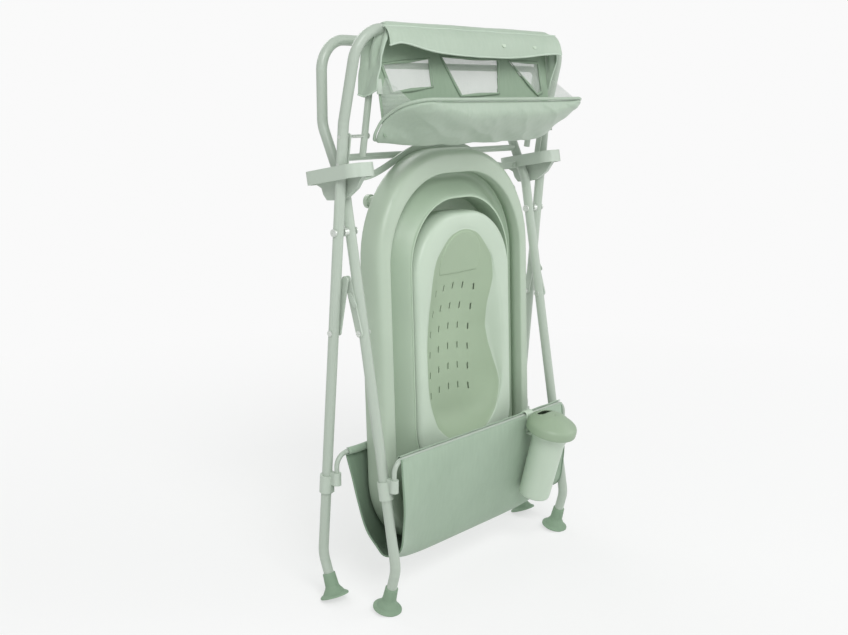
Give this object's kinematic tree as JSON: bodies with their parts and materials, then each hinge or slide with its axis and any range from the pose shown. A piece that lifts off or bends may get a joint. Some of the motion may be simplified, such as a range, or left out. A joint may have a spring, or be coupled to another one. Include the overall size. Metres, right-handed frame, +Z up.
{
  "type": "baby bathtub with folding stand",
  "caption": "Collapsible baby bathtub stored upright in a folding tubular stand with fabric basket, changing mat, newborn seat insert and rinse jug.",
  "frame": {"origin": "on the floor under the middle of the bounding box", "axes": "+Z up, +X to the right seen from the front, +Y to the rear; the tub's hollow side faces the front"},
  "size_m": [0.654, 0.288, 1.0587],
  "materials": {
    "painted_frame": "satin powder coat",
    "rivet_steel": "zinc plated",
    "foot_rubber": "matt moulded",
    "shell_plastic": "fine matt",
    "soft_plastic": "soft satin",
    "basket_cloth": "coated woven",
    "pad_cloth": "wipe-clean sheet",
    "net": "fine open mesh"
  },
  "bodies": {
    "outer_frame": {"outer_leg_left": "painted_frame", "outer_leg_right": "painted_frame", "front_loop": "painted_frame", "pivot_pin_left": "rivet_steel", "pivot_pin_right": "rivet_steel", "frame_rivets": "rivet_steel", "rear_foot_left": "foot_rubber", "rear_foot_right": "foot_rubber", "basket_rod_rear": "painted_frame", "bracket_rear_left": "shell_plastic", "bracket_rear_right": "shell_plastic", "brace_rivets_outer": "rivet_steel", "mat_sleeve": "basket_cloth", "mat_links": "painted_frame", "mat_link_rivets": "rivet_steel", "basket_fabric": "basket_cloth"},
    "inner_frame": {"inner_leg_left": "painted_frame", "inner_leg_right": "painted_frame", "rear_loop": "painted_frame", "crossbar": "painted_frame", "front_foot_left": "foot_rubber", "front_foot_right": "foot_rubber", "basket_rod_front": "painted_frame", "bracket_front_left": "shell_plastic", "bracket_front_right": "shell_plastic", "brace_rivets_inner": "rivet_steel"},
    "collars": {"collar_left": "shell_plastic", "collar_right": "shell_plastic", "tub_rest_hoop": "shell_plastic", "collar_screws": "rivet_steel"},
    "rear_link_left": {"brace_rear_left": "painted_frame"},
    "rear_link_right": {"brace_rear_right": "painted_frame"},
    "front_link_left": {"brace_front_left": "painted_frame"},
    "front_link_right": {"brace_front_right": "painted_frame"},
    "lock_left": {"brace_lock_left": "shell_plastic"},
    "lock_right": {"brace_lock_right": "shell_plastic"},
    "tub": {"tub_rim": "shell_plastic", "tub_fold_band": "soft_plastic", "tub_base": "shell_plastic", "tub_feet": "soft_plastic"},
    "drain_plug": {"drain_plug": "soft_plastic"},
    "newborn_seat": {"seat_insert": "shell_plastic", "headrest_pad": "soft_plastic"},
    "jug": {"jug_body": "shell_plastic"},
    "jug_lid": {"jug_lid": "shell_plastic"},
    "mat": {"mat_cover": "basket_cloth", "mat_net_windows": "net", "mat_side_nets": "net", "mat_snaps": "rivet_steel", "mat_strap": "basket_cloth"},
    "mat_pad": {"mat_pad": "pad_cloth"},
    "mat_support": {"mat_support_tube": "painted_frame"}
  },
  "joints": [
    {"name": "stand_fold", "type": "hinge", "parent": "outer_frame", "child": "inner_frame", "pos_m": [0, 0.0684, 0.696], "axis": [-1, 0, 0], "range_deg": [0, 22], "deforming": ["basket_fabric"]},
    {"name": "collar_follow", "type": "hinge", "parent": "outer_frame", "child": "collars", "pos_m": [0, 0.0684, 0.696], "axis": [-1, 0, 0], "range_deg": [0, 11.06]},
    {"name": "rear_link_left_turn", "type": "hinge", "parent": "outer_frame", "child": "rear_link_left", "pos_m": [-0.2884, 0.08391, 0.51466], "axis": [1, 0, 0], "range_deg": [0, 11.53]},
    {"name": "rear_link_right_turn", "type": "hinge", "parent": "outer_frame", "child": "rear_link_right", "pos_m": [0.2884, 0.08391, 0.51466], "axis": [1, 0, 0], "range_deg": [0, 11.53]},
    {"name": "front_link_left_turn", "type": "hinge", "parent": "inner_frame", "child": "front_link_left", "pos_m": [-0.2816, 0.03758, 0.51663], "axis": [-1, 0, 0], "range_deg": [0, 11.53]},
    {"name": "front_link_right_turn", "type": "hinge", "parent": "inner_frame", "child": "front_link_right", "pos_m": [0.2816, 0.03758, 0.51663], "axis": [-1, 0, 0], "range_deg": [0, 11.53]},
    {"name": "lock_left_turn", "type": "hinge", "parent": "front_link_left", "child": "lock_left", "pos_m": [-0.2845, 0.05717, 0.58442], "axis": [1, 0, 0], "range_deg": [0, 15]},
    {"name": "lock_right_turn", "type": "hinge", "parent": "front_link_right", "child": "lock_right", "pos_m": [0.2845, 0.05717, 0.58442], "axis": [1, 0, 0], "range_deg": [0, 15]},
    {"name": "tub_tilt", "type": "hinge", "parent": "outer_frame", "child": "tub", "pos_m": [0, 0.0174, 0.07397], "axis": [1, 0, 0], "range_deg": [0, 5]},
    {"name": "seat_tip", "type": "hinge", "parent": "tub", "child": "newborn_seat", "pos_m": [0, 0.01006, 0.20761], "axis": [1, 0, 0], "range_deg": [0, 8]},
    {"name": "drain_pull", "type": "slide", "parent": "tub", "child": "drain_plug", "axis": [0, 0.9994, -0.0349], "range_m": [0, 0.015]},
    {"name": "jug_lift", "type": "slide", "parent": "inner_frame", "child": "jug", "axis": [0, 0, 1], "range_m": [0, 0.05]},
    {"name": "jug_lid_lift", "type": "slide", "parent": "jug", "child": "jug_lid", "axis": [0, -0.2588, 0.9659], "range_m": [0, 0.04]},
    {"name": "mat_swing", "type": "hinge", "parent": "outer_frame", "child": "mat", "pos_m": [0, 0.01454, 1.042], "axis": [-1, 0, 0], "range_deg": [0, 110]},
    {"name": "pad_fold", "type": "hinge", "parent": "mat", "child": "mat_pad", "pos_m": [0, -0.0003, 0.858], "axis": [-1, 0, 0], "range_deg": [0, 30], "deforming": ["mat_side_nets"]},
    {"name": "support_swing", "type": "hinge", "parent": "outer_frame", "child": "mat_support", "pos_m": [0, 0.0542, 0.862], "axis": [-1, 0, 0], "range_deg": [0, 60]}
  ],
  "couplings": [
    {"joint": "collar_follow", "follows": "stand_fold", "ratio": 0.48},
    {"joint": "rear_link_left_turn", "follows": "stand_fold", "ratio": 0.5012},
    {"joint": "rear_link_right_turn", "follows": "stand_fold", "ratio": 0.5012},
    {"joint": "front_link_left_turn", "follows": "stand_fold", "ratio": 0.5012},
    {"joint": "front_link_right_turn", "follows": "stand_fold", "ratio": 0.5012}
  ]
}
